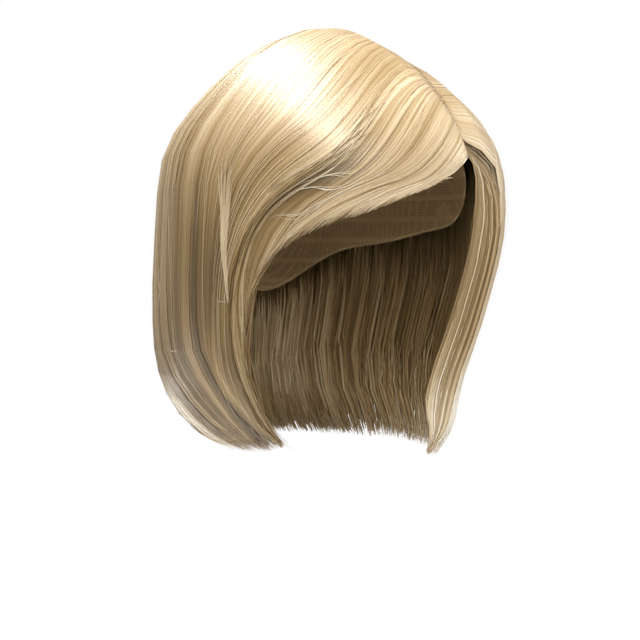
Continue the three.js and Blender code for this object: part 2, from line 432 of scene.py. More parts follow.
def makeLockMaterial():
    # long fine stripes along the fibres, on the piece's own map, in tones darker than the coats': partly
    # darker hair under the coat and partly painted shade in the gaps between strands
    material, tree, shader = newMaterial("lockUndercoat")
    own = addOwnMap(tree)
    stretched = addNode(tree, "Mapping", {"Scale": lockFinish["stripes"], "Vector": own["map"]})
    stripes = addNode(tree, "TexNoise", {
        "Scale": 1, "Detail": lockFinish["stripeDetail"], "Vector": stretched.outputs["Vector"],
    }).outputs["Fac"]
    tone = addRange(tree, stripes, lockFinish["stripeRange"], lockFinish["toneRange"])
    bump = addNode(tree, "Bump", {
        "Strength": lockFinish["bump"], "Distance": lockFinish["bumpDistance"], "Height": stripes,
    })
    setInputs(tree, shader, {
        "Base Color": fibreColour(tree, tone, own["along"]),
        "Normal": bump.outputs["Normal"],
        "Roughness": lockFinish["roughness"],
    })
    return material


strandMaterial = makeStrandMaterial()
lockMaterial = makeLockMaterial()
print("hair materials made")


# Meshes from arrays

def addObject(name, data):
    piece = bpy.data.objects.new(name, data)
    bpy.context.scene.collection.objects.link(piece)
    return piece


def addMesh(name, vertices, quads, triangles, maps, material):
    mesh = bpy.data.meshes.new(name)
    corners = np.concatenate([quads.ravel(), triangles.ravel()])
    starts = np.concatenate([np.arange(len(quads)) * 4, len(quads) * 4 + np.arange(len(triangles)) * 3])
    mesh.vertices.add(len(vertices))
    mesh.vertices.foreach_set("co", vertices.astype(np.float32).ravel())
    mesh.loops.add(len(corners))
    mesh.loops.foreach_set("vertex_index", corners.astype(np.int32))
    mesh.polygons.add(len(starts))
    mesh.polygons.foreach_set("loop_start", starts.astype(np.int32))
    mesh.polygons.foreach_set("use_smooth", np.ones(len(starts), bool))
    own = mesh.uv_layers.new(name="OFBake")
    own.uv.foreach_set("vector", maps.astype(np.float32).ravel())
    mesh.update()
    mesh.validate()
    mesh.materials.append(material)
    return addObject(name, mesh)


def triangleCount(piece):
    return sum(len(polygon.vertices) - 2 for polygon in piece.data.polygons)


strandForm = {
    "sides": 3,  # a low ridge: its crest and two edges
    "ridge": 0.22,  # height of the ridge as a share of half its width
    "ridgeSplit": (0.7, 0.3),  # shares of that height over and under the centre line
    "roll": 5,  # degrees that a strand may lie turned about its length
    "toneWidth": 0.003,  # half the width of a strand's strip on its map
    "tipWidth": 0.3,  # share of the width left at the tip
    "taperShares": (0.75, 1),  # shares of the length between which it narrows
    "ringShift": 0.3,  # how far a loose strand's rings may shift, as a share of their gap
    "lowest": 0.04,  # least height of a strand in the section's thickness, as a share
    "reach": (-0.05, 1.05),  # how far loose strands may reach across a section
    "toneLimits": (0.02, 0.98),
    "longRings": [
        0, 0.03, 0.075, 0.13, 0.19, 0.25, 0.31, 0.36, 0.41,
        0.46, 0.52, 0.59, 0.66, 0.73, 0.795, 0.86, 0.93, 1,
    ],
    "closeRings": [
        0, 0.03, 0.075, 0.13, 0.19, 0.25, 0.31, 0.355, 0.4, 0.445,
        0.495, 0.56, 0.62, 0.675, 0.725, 0.775, 0.825, 0.875, 0.935, 1,
    ],
    "shortRings": [0, 0.2, 0.45, 0.7, 0.88, 1],
    "ringGap": 0.004,  # least length between two rings of a coat's strand
    "buried": 2.5 * mm,  # how deep a root lies that starts away from the parting
}


def addStrands(name, rng, centres, outward, halfWidths, tones, alongs):
    # closed flat strands along their centre lines, joined in one mesh
    count, rings = centres.shape[:2]
    sides = strandForm["sides"]
    forward = unit(np.gradient(centres, axis=1))
    level = unit(np.cross(forward, outward))
    raised = np.cross(level, forward)
    roll = np.radians(rng.normal(0, strandForm["roll"], (count, 1, 1)))
    across = level * np.cos(roll) + raised * np.sin(roll)
    lift = raised * np.cos(roll) - level * np.sin(roll)
    half = halfWidths[..., None]
    height = half * strandForm["ridge"]
    over, below = strandForm["ridgeSplit"]
    crest = centres + lift * height * over
    edge = centres - lift * height * below
    vertices = np.stack([crest, edge - across * half, edge + across * half], 2)
    index = np.arange(count * rings * sides).reshape(count, rings, sides)
    turned = np.roll(index, -1, axis=2)
    quads = np.stack([index[:, :-1], index[:, 1:], turned[:, 1:], turned[:, :-1]], -1).reshape(-1, 4)
    triangles = np.concatenate([index[:, 0], index[:, -1, ::-1]])
    strip = strandForm["toneWidth"]
    here = np.broadcast_to(tones[:, :-1, None], (count, rings - 1, sides))
    ahead = np.broadcast_to(tones[:, 1:, None], here.shape)
    first = np.broadcast_to(alongs[:, :-1, None], here.shape)
    second = np.broadcast_to(alongs[:, 1:, None], here.shape)
    u = np.stack([here - strip, ahead - strip, ahead + strip, here + strip], -1).reshape(-1)
    v = np.stack([first, second, second, first], -1).reshape(-1)
    step = np.array([0, 0, 2 * strip])
    corner = np.array([-strip, strip, 0])
    u = np.concatenate([u, (tones[:, :1] + corner).ravel(), (tones[:, -1:] + corner).ravel()])
    v = np.concatenate([v, (alongs[:, :1] + step).ravel(), (alongs[:, -1:] - step).ravel()])
    piece = addMesh(name, vertices.reshape(-1, 3), quads, triangles, np.stack([u, v], -1), strandMaterial)
    ends = np.zeros(len(piece.data.edges) * 2, np.int32)
    piece.data.edges.foreach_get("vertices", ends)
    side = ends.reshape(-1, 2) % sides
    # the two long edges are sharp, so that the crest alone is smooth
    sharp = (side[:, 0] == side[:, 1]) & (side[:, 0] > 0)
    piece.data.attributes.new("sharp_edge", "BOOLEAN", "EDGE").data.foreach_set("value", sharp)
    return piece


undercoat = {
    "columns": 48,
    "rows": 36,
    "crowding": 1.3,  # above 1 the rows crowd towards the root
    "inner": 0.3,  # where the inner skin lies, as a share of the section's thickness
    "sink": (2 * mm, 2.8 * mm),  # depth of the outer skin under the section's face, above and in the curl
    "sinkShares": (0.5, 0.75),  # shares of the length between which the depth changes
    "mostSink": 0.6,  # as a share of the section's thickness
    "skinStarts": (0.01, 0.51),  # where the map holds the outer and the inner skin
    "skinSize": (0.48, 0.985),
    "sideStrip": (0.4925, 0.5075),  # where it holds the shell's two sides
    "endStrip": (0.989, 0.999),  # and its root and hem
}


def addUndercoat(name, section):
    # a closed shell under the strands, which keeps daylight out between them
    columns = undercoat["columns"]
    rows = undercoat["rows"]
    spread = np.linspace(*section["shellSpan"], columns + 1)
    along = section["shellHem"] * np.linspace(0, 1, rows + 1) ** undercoat["crowding"]
    spreadGrid, alongGrid = np.meshgrid(spread, along, indexing="ij")
    outer, under = hairFaces(section, spreadGrid, alongGrid)[:2]
    height = lengthOf(outer - under)
    sink = mix(*undercoat["sink"], smooth(alongGrid, *undercoat["sinkShares"]))[..., None]
    sink = np.minimum(sink / np.maximum(height, tiny), undercoat["mostSink"])
    outerSkin = mix(under, outer, 1 - sink)
    innerSkin = mix(under, outer, np.minimum(undercoat["inner"], (1 - sink) * 0.5))
    vertices = np.concatenate([outerSkin.reshape(-1, 3), innerSkin.reshape(-1, 3)])
    index = np.arange((columns + 1) * (rows + 1)).reshape(columns + 1, rows + 1)
    inner = index + index.size
    outerQuads = np.stack([index[:-1, :-1], index[:-1, 1:], index[1:, 1:], index[1:, :-1]], -1)
    innerQuads = np.stack([inner[:-1, :-1], inner[1:, :-1], inner[1:, 1:], inner[:-1, 1:]], -1)
    outerQuads = outerQuads.reshape(-1, 4)
    innerQuads = innerQuads.reshape(-1, 4)
    column, row = np.divmod(np.arange(index.size), rows + 1)
    u = undercoat["skinSize"][0] * column / columns
    v = undercoat["skinSize"][1] * row / rows
    acrossBoth = np.concatenate([start + u for start in undercoat["skinStarts"]])
    skinMap = np.stack([acrossBoth, np.concatenate([v, v])], -1)
    quads = [outerQuads, innerQuads]
    maps = [skinMap[outerQuads.ravel()], skinMap[innerQuads.ravel()]]
    sides = [index[:, 0], index[-1], index[::-1, -1], index[0, ::-1]]  # root, one side, hem, other side
    for border, onSide in zip(sides, (False, True, False, True)):
        here = border[:-1]
        ahead = border[1:]
        quads.append(np.stack([here, ahead, ahead + index.size, here + index.size], -1))
        low, high = undercoat["sideStrip"] if onSide else undercoat["endStrip"]
        if onSide:
            corners = [(low, v[here]), (low, v[ahead]), (high, v[ahead]), (high, v[here])]
        else:
            corners = [(u[here], low), (u[ahead], low), (u[ahead], high), (u[here], high)]
        strips = [np.stack(np.broadcast_arrays(*corner), -1) for corner in corners]
        maps.append(np.stack(strips, 1).reshape(-1, 2))
    noTriangles = np.zeros((0, 3), int)
    return addMesh(name, vertices, np.concatenate(quads), noTriangles, np.concatenate(maps), lockMaterial)


# Strands of a section

# Widths, sways and slants of a clump are in pitches between clumps.
coatLooks = {
    "base": {
        "halfWidth": (0.4 * mm, 0.7 * mm),
        "depth": 0.4 * mm,  # how far the clumps' tops lie under the outer face
        "layerDepth": 0.16 * mm,  # how far strands lie under each other, on average
        "clumpLift": 0.08 * mm, "clumpCrown": 0.08 * mm, "clumpWidth": (1.4, 2.2),
        "sway": 0.4, "slant": 0.5, "gather": (0, 0.15), "lateShare": 0.3, "shortShare": 0.05,
        "tone": 0.44,
        "streakTone": 0.08,  # how much the broad streaks differ
        "clumpTone": 0.025, "strandTone": 0.02,
    },
    "top": {
        "halfWidth": (0.2 * mm, 0.42 * mm),
        "depth": 0.2 * mm, "layerDepth": 0.12 * mm,
        "clumpLift": 0.08 * mm, "clumpCrown": 0.06 * mm, "clumpWidth": (0.5, 1.8),
        "sway": 1.1, "slant": 1.6, "gather": (0, 0.3), "lateShare": 0.45, "shortShare": 0.14,
        "tone": 0.54, "streakTone": 0.08, "clumpTone": 0.035, "strandTone": 0.03,
    },
}


def strandRows(rng, starts, ends, rings):
    # the places along the hair of each strand's rings, with the inner ones shifted a little
    shift = strandForm["ringShift"]
    shares = np.array(strandForm[rings], float)
    gaps = np.minimum(np.diff(shares)[:-1], np.diff(shares)[1:])
    rows = np.tile(shares, (len(starts), 1))
    rows[:, 1:-1] += rng.uniform(-shift, shift, (len(starts), len(gaps))) * gaps
    return rows, mix(starts[:, None], ends[:, None], rows)


def coatRows(starts, ends, rings):
    # the same for a coat, where all strands have their rings side by side and lie evenly round a bend
    shares = np.array(strandForm[rings], float)
    steps = np.arange(len(shares)) * strandForm["ringGap"]
    along = np.clip(shares, starts[:, None] + steps, ends[:, None] - steps[::-1])
    return (along - starts[:, None]) / (ends - starts)[:, None], along


def strandWidths(rng, rows, halfWidth, rootWidth=0.7, rootShare=0.05):
    size = rng.uniform(*halfWidth, len(rows))[:, None]
    taper = mix(1, strandForm["tipWidth"], smooth(rows, *strandForm["taperShares"]))
    return size * taper * mix(rootWidth, 1, smooth(rows, 0, rootShare))


def strandPoints(section, spread, along, sink, lift):
    # centre lines that lie a depth under the outer face, never under the section's own underside
    outer, under, outward = hairFaces(section, spread, along)
    height = np.maximum(np.linalg.norm(outer - under, axis=-1), tiny)
    share = np.clip(1 - sink / height, strandForm["lowest"], 1)
    points = mix(under, outer, share[..., None])
    return points + outward * lift[..., None], outward


def paintedLightShift(section, spread, along):
    # broad soft patches of painted shade and painted light: the hair's tone is made darker where shade
    # falls and lighter where light falls
    shift = np.zeros(np.broadcast(spread, along).shape)
    for place, reach, amount in section.get("zones", {}).values():
        across = (spread - place[0]) / reach[0]
        down = (along - place[1]) / reach[1]
        shift = shift + amount * np.exp(-across ** 2 - down ** 2)
    return shift


def swept(section, spread, along):
    # the lower ends of some sections sweep across them, each place by its own share of the width
    if "sweep" not in section:
        return spread
    places, shifts = zip(*section["sweep"]["shifts"])
    return spread + np.interp(spread, places, shifts) * smooth(along, *section["sweep"]["along"])


# Shares are of a strand's length.
clumpLay = {
    "jitter": (0.2, 0.8),  # place of a clump in its pitch
    "phases": (0, 6.28),
    "waves": 4,  # radians of a sway's wave along the hair
    "slantJitter": 0.6,
    "slantMiddle": 0.4,  # the place along the hair that a slant turns about
    "starts": (0, 0.004), "lateStarts": (0, 0.14), "shortEnds": (0.6, 0.97), "gatherShares": (0.3, 1),
    "layerShares": (0, 0.25),  # where the layers part from each other
    "buriedShares": (0, 0.2),
}


def coatStrands(rng, section, look, count):
    # strands in small clumps that cross each other a little and draw together towards their tips
    own = section["strands"]
    clumps = own["clumps"]
    pitch = 1 / clumps
    centre = mix(*own["coatSpan"], (np.arange(clumps) + rng.uniform(*clumpLay["jitter"], clumps)) * pitch)
    width = rng.uniform(*look["clumpWidth"], clumps) * pitch / 2
    lift = rng.uniform(-1, 1, clumps) * look["clumpLift"]
    gather = rng.uniform(*look["gather"], clumps)
    sway = rng.uniform(-1, 1, clumps) * look["sway"] * pitch
    phase = rng.uniform(*clumpLay["phases"], clumps)
    slant = rng.normal(0, clumpLay["slantJitter"], clumps) * look["slant"] * pitch
    shortness = rng.uniform(0, own["ragged"], clumps)
    streaks = rng.normal(0, look["streakTone"], own["streaks"])
    clumpTone = look["tone"] + np.interp(centre, np.linspace(0, 1, own["streaks"]), streaks)
    clumpTone = clumpTone + rng.normal(0, look["clumpTone"], clumps)
    k = np.arange(count) % clumps
    layer = (np.arange(count) // clumps + rng.random(count)) * clumps / count
    offset = np.clip(2 * layer - 1, -1, 1)
    late = rng.random(count) < look["lateShare"]
    lateStarts = rng.uniform(*clumpLay["lateStarts"], count)
    starts = np.where(late, lateStarts, rng.uniform(*clumpLay["starts"], count))
    ends = 1 - shortness[k] - rng.uniform(0, own["ragged"], count)
    short = rng.random(count) < look["shortShare"]
    ends = np.where(short, rng.uniform(*clumpLay["shortEnds"], count), ends)
    rows, along = coatRows(starts, ends, own["rings"])
    drawn = 1 - gather[k][:, None] * smooth(along, *clumpLay["gatherShares"])
    spread = centre[k][:, None] + (offset * width[k])[:, None] * drawn
    wave = np.sin(phase[k][:, None] + clumpLay["waves"] * along)
    spread = spread + slant[k][:, None] * (along - clumpLay["slantMiddle"]) + sway[k][:, None] * wave
    low, high = own["coatSpan"]  # strands turn back at the section's sides
    spread = high - np.abs(high - low - np.abs(spread - low))
    depth = look["clumpCrown"] * offset ** 2 + rng.exponential(look["layerDepth"], count)
    sink = (depth - lift[k])[:, None] * smooth(along, *clumpLay["layerShares"]) + look["depth"]
    sink = sink + strandForm["buried"] * late[:, None] * (1 - smooth(rows, *clumpLay["buriedShares"]))
    lying = swept(section, spread, along)
    points, outward = strandPoints(section, lying, along, np.maximum(sink, 0), np.zeros_like(sink))
    tone = (clumpTone[k] + rng.normal(0, look["strandTone"], count))[:, None]
    tone = tone + paintedLightShift(section, spread, along)
    return points, outward, strandWidths(rng, rows, look["halfWidth"]), tone, along


innerLook = {
    "halfWidth": (0.3 * mm, 0.5 * mm),
    "leastStart": 0.24, "startJitter": 0.04, "ragged": 0.06, "drift": 0.01,
    "layers": (0, 0.1),  # heights of the strands in the section's thickness
    "tone": 0.34, "toneJitter": 0.11,
}


def leavesCap(section, spread):
    # the place along the hair where it hangs free below the cap's rim
    margin = hairLay["margin"]
    spots = section["spots"]
    free = np.hypot(spots[..., 0], spots[..., 1]) > rimLevel(spots)
    first = free.argmax(axis=1) / (spots.shape[1] - 1)
    return np.interp(spread, np.linspace(-margin, 1 + margin, len(spots)), first)


def innerStrands(rng, section):
    # the lining of strands seen through the face opening
    count = section["strands"]["inner"]
    place = rng.uniform(*section["strands"]["coatSpan"], count)
    starts = np.maximum(leavesCap(section, place), innerLook["leastStart"])
    starts = starts - rng.uniform(0, innerLook["startJitter"], count)
    ends = 1 - rng.uniform(0, innerLook["ragged"], count)
    rows, along = strandRows(rng, starts, ends, "shortRings")
    spread = place[:, None] + rng.normal(0, innerLook["drift"], (count, 1)) * rows
    outer, under, outward = hairFaces(section, np.clip(spread, *strandForm["reach"]), along)
    points = mix(under, outer, rng.uniform(*innerLook["layers"], (count, 1, 1)))
    tone = rng.normal(innerLook["tone"], innerLook["toneJitter"], (count, 1))
    return points, -outward, strandWidths(rng, rows, innerLook["halfWidth"]), tone, along


hemLook = {
    "halfWidth": (0.16 * mm, 0.34 * mm),
    "starts": (0.55, 0.8), "ragged": 0.025, "shortest": 0.86, "drift": 0.012,
    "layers": (0.05, 0.9),  # heights of the tips in the section's thickness
    "rootLayers": (0.3, 0.7), "fanShares": (0, 0.6),
    "tone": 0.46, "toneJitter": 0.14,
}


def hemStrands(rng, section):
    # short ends that fill the thickness of the hem
    count = section["strands"]["hem"]
    starts = rng.uniform(*hemLook["starts"], count)
    ends = np.maximum(1 - rng.exponential(hemLook["ragged"], count), hemLook["shortest"])
    rows, along = strandRows(rng, starts, ends, "shortRings")
    spread = rng.uniform(*section["strands"]["coatSpan"], count)[:, None]
    spread = spread + rng.normal(0, hemLook["drift"], (count, 1)) * rows
    spread = np.clip(spread, *strandForm["reach"])
    outer, under, outward = hairFaces(section, spread, along)
    layer = rng.uniform(*hemLook["layers"], (count, 1))
    fan = smooth(rows, *hemLook["fanShares"])
    share = mix(np.clip(layer, *hemLook["rootLayers"]), layer, fan)
    points = mix(under, outer, share[..., None])
    tone = rng.normal(hemLook["tone"], hemLook["toneJitter"], (count, 1))
    tone = tone + paintedLightShift(section, spread, along)
    return points, outward, strandWidths(rng, rows, hemLook["halfWidth"]), tone, along


strayLook = {
    "halfWidth": (0.08 * mm, 0.15 * mm),
    "starts": (0.02, 0.5), "lengths": (0.2, 0.55), "places": (0.03, 0.97),
    "lift": (0.3 * mm, 1.6 * mm),
    "arch": 0.7,  # under 1 a fibre rises sooner
    "rootDepth": 2 * mm,
    "rootShares": (0, 0.15),
    "slant": 0.03, "bow": 0.012, "tone": (0.52, 0.76),
}


def strayStrands(rng, section):
    # single pale fibres that cross the coat
    count = section["strands"]["stray"]
    starts = rng.uniform(*strayLook["starts"], count)
    ends = np.minimum(starts + rng.uniform(*strayLook["lengths"], count), 1)
    rows, along = strandRows(rng, starts, ends, "longRings")
    slant = rng.normal(0, strayLook["slant"], (count, 1))
    bow = rng.normal(0, strayLook["bow"], (count, 1))
    place = rng.uniform(*strayLook["places"], (count, 1))
    arc = np.sin(np.pi * rows)
    spread = place + slant * (rows - 0.5) + bow * arc
    rise = rng.uniform(*strayLook["lift"], (count, 1)) * arc ** strayLook["arch"]
    sink = strayLook["rootDepth"] * (1 - smooth(rows, *strayLook["rootShares"]))
    points, outward = strandPoints(section, np.clip(spread, *strandForm["reach"]), along, sink, rise)
    tone = rng.uniform(*strayLook["tone"], (count, 1))
    return points, outward, strandWidths(rng, rows, strayLook["halfWidth"]), tone, along


sideLook = {
    "halfWidth": (0.22 * mm, 0.42 * mm),
    "starts": (0, 0.08), "ends": (0.93, 1), "fanShares": (0, 0.25),
    "step": 0.02,  # how far into the section its side's direction is measured
    "toneJitter": 0.13,
}


def sideStrands(rng, section):
    # strands over the thickness of a section's open side
    look = section["openSide"]
    count = look["strands"]
    starts = rng.uniform(*sideLook["starts"], count)
    ends = rng.uniform(*sideLook["ends"], count)
    rows, along = strandRows(rng, starts, ends, "longRings")
    spread = look["place"] + rng.normal(0, look["ragged"], (count, 1))
    spread = spread + rng.normal(0, look["ragged"], (count, 1)) * rows
    outer, under = hairFaces(section, spread, along)[:2]
    layer = mix(0.5, rng.uniform(0, 1, (count, 1)), smooth(rows, *sideLook["fanShares"]))
    points = mix(under, outer, layer[..., None])
    beside = hairFaces(section, spread - look["facing"] * sideLook["step"], along)[0]
    tone = rng.normal(look["tone"], sideLook["toneJitter"], (count, 1))
    tone = tone + paintedLightShift(section, spread, along)
    return points, unit(outer - beside), strandWidths(rng, rows, sideLook["halfWidth"]), tone, along


lockLook = {
    "starts": (0, 0.45), "narrowShares": (0.3, 1),
    "crown": 0.6,  # how much lower a lock's sides lie than its middle
    "riseShares": (0.05, 0.4), "buriedShares": (0, 0.25), "layerDepth": 0.3 * mm,
    "toneShares": (0, 0.5), "rootWidth": 0.15, "rootShare": 0.5,
}


def lockStrands(rng, section):
    # single locks that stand out from the coat, each with a path of places across and along the section
    results = []
    for lock in section["locks"].values():
        count = lock["strands"]
        path = np.array(lock["path"], float)
        starts = rng.uniform(*lockLook["starts"], count)
        ends = 1 - rng.uniform(0, lock["ragged"], count)
        rows, place = strandRows(rng, starts, ends, "longRings")
        onPath = rowAt(path, place * (len(path) - 1))
        offset = rng.uniform(-1, 1, (count, 1))
        narrow = mix(1, lock["tipWidth"], smooth(place, *lockLook["narrowShares"]))
        spread = onPath[..., 0] + offset * lock["width"] * narrow
        along = np.clip(onPath[..., 1], 0, 1)
        crown = 1 - lockLook["crown"] * offset ** 2
        rise = lock["lift"] * crown * smooth(rows, *lockLook["riseShares"])
        sink = strandForm["buried"] * (1 - smooth(rows, *lockLook["buriedShares"]))
        sink = sink + rng.exponential(lockLook["layerDepth"], (count, 1))
        points, outward = strandPoints(section, spread, along, sink, rise)
        tone = rng.normal(lock["tone"], lock["toneJitter"], (count, 1))
        tone = mix(lock["rootTone"], tone, smooth(place, *lockLook["toneShares"]))
        widths = strandWidths(rng, rows, lock["halfWidth"], lockLook["rootWidth"], lockLook["rootShare"])
        results.append((points, outward, widths, tone, along))
    return tuple(np.concatenate(part) for part in zip(*results))


def addHair(node, section):
    look = section["strands"]
    rng = np.random.default_rng(look["seed"])
    pieces = [addUndercoat(node + "_undercoat", section)]
    families = {
        "base_coat": coatStrands(rng, section, coatLooks["base"], look["base"]),
        "top_coat": coatStrands(rng, section, coatLooks["top"], look["top"]),
        "lining": innerStrands(rng, section),
        "hem": hemStrands(rng, section),
        "strays": strayStrands(rng, section),
    }
    if "openSide" in section:
        families["side"] = sideStrands(rng, section)
    if "locks" in section:
        families["locks"] = lockStrands(rng, section)
    for family, (points, outward, halfWidths, tone, along) in families.items():
        tone = np.clip(np.broadcast_to(tone, along.shape), *strandForm["toneLimits"])
        pieces.append(addStrands(node + "_" + family, rng, points, outward, halfWidths, tone, along))
    for piece in pieces:
        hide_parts(node)
        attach(piece, "root")
    counts = [triangleCount(piece) for piece in pieces]
    print(node, "made:", sum(counts), "triangles, largest piece", max(counts))
    return sum(counts)


# What is special to each section.
# A zone of painted light and shade has its place across and along the section, its reach and its shift of
# the tone, below 0 for painted shade and above 0 for painted light.
leftSide["shellSpan"] = (0.02, 1)
leftSide["shellHem"] = 0.86
leftSide["strands"] = {
    "seed": 11, "base": 820, "top": 670, "clumps": 110, "streaks": 28,
    "inner": 300, "hem": 320, "stray": 40,
    "coatSpan": (0, 1.003), "ragged": 0.05, "rings": "longRings",
}
# Painted light: the top is lightened as if the lamps lit it, and the tips as if a rim light from behind
# caught them.
leftSide["zones"] = {
    "litTop": ((0.1, 0.08), (0.25, 0.12), 0.18),
    "rimLitTips": ((0.2, 0.82), (0.3, 0.22), 0.55),
}
# The left open side's low tone is painted shade on the shaded inside edge of the far curtain.
leftSide["openSide"] = {"place": 0.0, "facing": -1, "strands": 200, "ragged": 0.006, "tone": 0.34}

backSide["shellSpan"] = (-0.01, 1.01)
backSide["shellHem"] = 0.93
backSide["strands"] = {
    "seed": 12, "base": 770, "top": 620, "clumps": 100, "streaks": 28,
    "inner": 300, "hem": 300, "stray": 35,
    "coatSpan": (-0.003, 1.003), "ragged": 0.035, "rings": "longRings",
}

rightSide["shellSpan"] = (-0.01, 1)
rightSide["shellHem"] = 0.92
rightSide["strands"] = {
    "seed": 13, "base": 1360, "top": 1310, "clumps": 150, "streaks": 40,
    "inner": 300, "hem": 350, "stray": 40,
    "coatSpan": (-0.003, 1.01), "ragged": 0.04, "rings": "closeRings",
}
# Painted shade on the hanging side and its middle, beside the parting, over the brow, low at the front and
# on both sides of the face lock, where shade falls.
rightSide["zones"] = {
    "hangingSide": ((0.6, 0.78), (0.6, 0.3), -0.3),
    "outerShade": ((0.42, 0.43), (0.06, 0.1), -0.06),
    "besideParting": ((1, 0.15), (0.2, 0.1), -0.14),
    "outerMiddle": ((0.53, 0.57), (0.05, 0.1), -0.16),
    "behindFaceLock": ((0.72, 0.61), (0.14, 0.1), -0.28),
    "beforeFaceLock": ((1, 0.63), (0.08, 0.06), -0.15),
    "overTheBrow": ((0.88, 0.43), (0.14, 0.1), -0.12),
    "lowFront": ((1, 0.8), (0.12, 0.12), -0.22),
    # a bundle made lighter
    "lighterBundle": ((0.7, 0.79), (0.07, 0.09), 0.2),
    # a thin painted shadow in the gap between two bundles, with painted light on the bundle beside it
    "shadowGap": ((0.55, 0.82), (0.014, 0.2), -0.3),
    "besideShadowGap": ((0.515, 0.78), (0.02, 0.1), 0.12),
    # painted rim light along the lower curve, with painted shade inside it
    "lowerRim": ((0.23, 0.9), (0.035, 0.1), 0.55),
    "insideRim": ((0.31, 0.87), (0.045, 0.08), -0.3),
}
rightSide["sweep"] = {
    "along": (0.69, 0.96),
    "shifts": [(0, 0), (0.25, 0.17), (0.45, 0.17), (0.53, 0.21), (0.57, 0.42), (0.72, 0.28), (1, 0.01)],
}
rightSide["openSide"] = {"place": 1.0, "facing": 1, "strands": 160, "ragged": 0.004, "tone": 0.4}
frizzLook = {
    "strands": 2, "tipWidth": 1, "ragged": 0.1, "halfWidth": (0.06 * mm, 0.1 * mm),
    "tone": 0.85, "rootTone": 0.7, "toneJitter": 0.02,
}
rightSide["locks"] = {
    "paleFaceLock": {
        "strands": 110, "width": 0.04, "tipWidth": 0.4, "ragged": 0.15, "lift": 0.6 * mm,
        "tone": 0.6, "rootTone": 0.44, "toneJitter": 0.05, "halfWidth": (0.16 * mm, 0.32 * mm),
        "path": [(0.612, 0.39), (0.652, 0.46), (0.712, 0.523), (0.824, 0.6), (0.93, 0.64), (1.01, 0.67)],
    },
    "besideBangs": {
        "strands": 45, "width": 0.018, "tipWidth": 0.8, "ragged": 0.3, "lift": 0.15 * mm,
        "tone": 0.5, "rootTone": 0.54, "toneJitter": 0.04, "halfWidth": (0.2 * mm, 0.4 * mm),
        "path": [(0.995, 0.17), (0.993, 0.23), (0.99, 0.29), (0.986, 0.35), (0.98, 0.42), (0.97, 0.5)],
    },
    "frizzAtEdge": {
        **frizzLook, "width": 0.01, "lift": 0.5 * mm,
        "path": [(0.35, 0.55), (0.356, 0.577), (0.374, 0.59), (0.35, 0.613), (0.37, 0.627), (0.342, 0.65)],
    },
    "frizzBelow": {
        **frizzLook, "width": 0.006, "lift": 0.8 * mm,
        "path": [(0.37, 0.735), (0.384, 0.713), (0.424, 0.723), (0.472, 0.72)],
    },
    "frizzAtFaceLock": {
        **frizzLook, "width": 0.006, "lift": 0.8 * mm,
        "path": [(0.73, 0.655), (0.8, 0.662), (0.892, 0.667), (1.0, 0.667)],
    },
}

bangs["shellSpan"] = (0, 0.96)
bangs["shellHem"] = 0.86
bangs["strands"] = {
    "seed": 14, "base": 750, "top": 1150, "clumps": 90, "streaks": 34,
    "inner": 150, "hem": 250, "stray": 40,
    "coatSpan": (-0.03, 1), "ragged": 0.09, "rings": "longRings",
}
# Painted shade: the fringe is darkened over the brow, along its lower part and at its tail, where shade
# falls.
bangs["zones"] = {
    "overTheBrow": ((0.15, 0.55), (0.16, 0.18), -0.44),
    "lowFringe": ((0.5, 0.5), (0.35, 0.25), -0.14),
    "tail": ((0.2, 0.86), (0.2, 0.16), -0.2),
}
wispLook = {
    "lift": 0.5 * mm, "halfWidth": (0.05 * mm, 0.09 * mm),
    "tone": 0.8, "rootTone": 0.6, "toneJitter": 0.08,
}
tipsLook = {
    "ragged": 0.5, "lift": 0.2 * mm, "halfWidth": (0.06 * mm, 0.13 * mm), "toneJitter": 0.1,
}
bangs["locks"] = {
    "upperWisp": {
        **wispLook, "strands": 9, "width": 0.035, "tipWidth": 1.2, "ragged": 0.3,
        "path": [(0.34, 0.36), (0.3, 0.44), (0.26, 0.5), (0.2, 0.53), (0.12, 0.54), (0.04, 0.54)],
    },
    "middleWisp": {
        **wispLook, "strands": 9, "width": 0.04, "tipWidth": 1.3, "ragged": 0.3,
        "path": [(0.42, 0.36), (0.38, 0.46), (0.33, 0.54), (0.26, 0.59), (0.18, 0.61), (0.1, 0.61)],
    },
    "lowerWisp": {
        **wispLook, "strands": 10, "width": 0.045, "tipWidth": 1.2, "ragged": 0.4,
        "path": [(0.5, 0.4), (0.46, 0.52), (0.41, 0.62), (0.35, 0.7), (0.27, 0.74), (0.2, 0.76)],
    },
    "fringeTips": {
        **tipsLook, "strands": 30, "width": 0.07, "tipWidth": 1.1, "tone": 0.56, "rootTone": 0.5,
        "path": [(0.62, 0.42), (0.67, 0.55), (0.71, 0.68), (0.74, 0.82), (0.77, 0.94), (0.79, 1)],
    },
    "browTips": {
        **tipsLook, "strands": 36, "width": 0.05, "tipWidth": 1.2, "tone": 0.6, "rootTone": 0.54,
        "path": [(0.8, 0.3), (0.85, 0.45), (0.9, 0.6), (0.95, 0.74), (0.99, 0.86), (1.03, 0.97)],
    },
}

hairTriangles = sum(addHair(node, section) for node, section in hairSections.items())
print("hair made:", hairTriangles, "triangles")


# Cap

capFinish = {
    "colour": "8d7550",
    "darkColour": "6d5838",
    "mesh": 1.6 * mm,  # pitch of the net
    "unevenness": 0.25,
    "threadEdge": (0.04, 0.2),  # from the middle of a thread to the open net
    "gapDarkness": 0.75,
    "rowPitch": 12 * mm,  # pitch of the sewn rows
    "rowEdge": (0.6, 0.9),
    "bump": 0.5,
    "bumpDistance": 0.5 * mm,
    "roughness": 0.85,
    "weld": 0.01 * mm,
}


